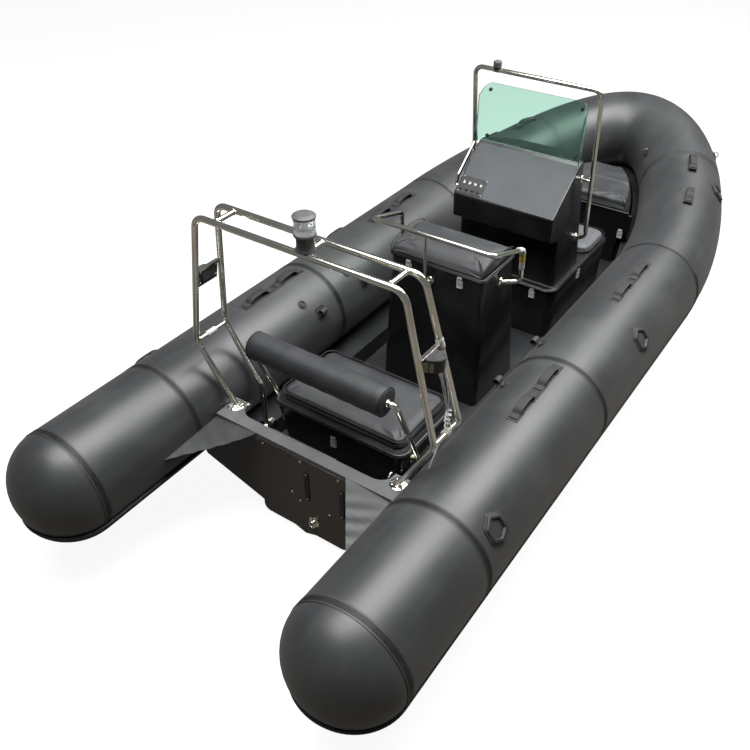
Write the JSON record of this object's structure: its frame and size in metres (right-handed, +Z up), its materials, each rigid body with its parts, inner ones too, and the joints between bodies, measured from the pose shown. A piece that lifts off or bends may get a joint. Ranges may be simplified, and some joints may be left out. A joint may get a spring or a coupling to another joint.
{
  "type": "rigid inflatable boat",
  "caption": "Open rigid inflatable boat with a horseshoe tube, V hull, lidded seats, a tilting console with a windscreen, a bow locker and a stainless arch.",
  "frame": {"origin": "on the centreline, amidships, at the height of the water", "axes": "+X to starboard, +Y to the bow, +Z up"},
  "size_m": [1.975, 4.977, 1.6318],
  "materials": {
    "gel_black": "gloss",
    "gel_grey": "gloss",
    "deck_grey": "satin",
    "transom_grey": "satin",
    "stainless": "polished",
    "tube_cloth": "satin coated cloth",
    "rubber_black": "matte",
    "lamp_plastic": "satin",
    "cushion_grey": "satin",
    "cushion_light": "satin",
    "screen_clear": "clear",
    "lead_white": "satin"
  },
  "bodies": {
    "boat": {"lower_hull": "gel_grey", "deck": "deck_grey", "transom": "transom_grey", "transom_fittings": "stainless", "port_tube": "tube_cloth", "starboard_tube": "tube_cloth", "bow_tube": "tube_cloth", "port_rub_strake": "rubber_black", "starboard_rub_strake": "rubber_black", "port_gusset": "tube_cloth", "starboard_gusset": "tube_cloth", "port_lift_handles": "rubber_black", "starboard_lift_handles": "rubber_black", "port_grab_straps": "rubber_black", "starboard_grab_straps": "rubber_black", "tube_valves": "rubber_black", "oar_holders": "rubber_black", "arch_aft_hoop": "stainless", "arch_forward_hoop": "stainless", "arch_crossbars": "stainless", "mast_light": "lamp_plastic", "port_light": "lamp_plastic", "starboard_light": "lamp_plastic", "rear_seat_box": "gel_black", "backrest_frame": "stainless", "backrest_roll": "cushion_grey", "pilot_seat_box": "gel_black", "pilot_seat_rail": "stainless", "console_locker": "gel_black", "bow_locker": "gel_black", "latches": "stainless", "light_lead": "lead_white"},
    "rear_lid": {"rear_seat_lid": "gel_black", "rear_seat_cushion": "cushion_grey"},
    "pilot_lid": {"pilot_seat_lid": "gel_black", "pilot_seat_cushion": "cushion_grey"},
    "console": {"console_body": "gel_black", "switch_panel": "lamp_plastic", "windscreen": "screen_clear", "windscreen_rail": "stainless", "screen_lamp": "lamp_plastic", "console_seat_cushion": "cushion_light"},
    "bow_lid": {"bow_locker_lid": "gel_black", "bow_cushion": "cushion_grey"}
  },
  "joints": [
    {"name": "rear_lid_hinge", "type": "hinge", "parent": "boat", "child": "rear_lid", "pos_m": [0, -0.9, 0.282], "axis": [-1, 0, 0], "range_deg": [0, 90]},
    {"name": "pilot_lid_hinge", "type": "hinge", "parent": "boat", "child": "pilot_lid", "pos_m": [0, -0.205, 0.716], "axis": [-1, 0, 0], "range_deg": [0, 85]},
    {"name": "console_tilt", "type": "hinge", "parent": "boat", "child": "console", "pos_m": [0, 1.013, 0.288], "axis": [-1, 0, 0], "range_deg": [0, 55]},
    {"name": "bow_lid_hinge", "type": "hinge", "parent": "boat", "child": "bow_lid", "pos_m": [0, 1.79, 0.343], "axis": [-1, 0, 0], "range_deg": [0, 58]}
  ]
}
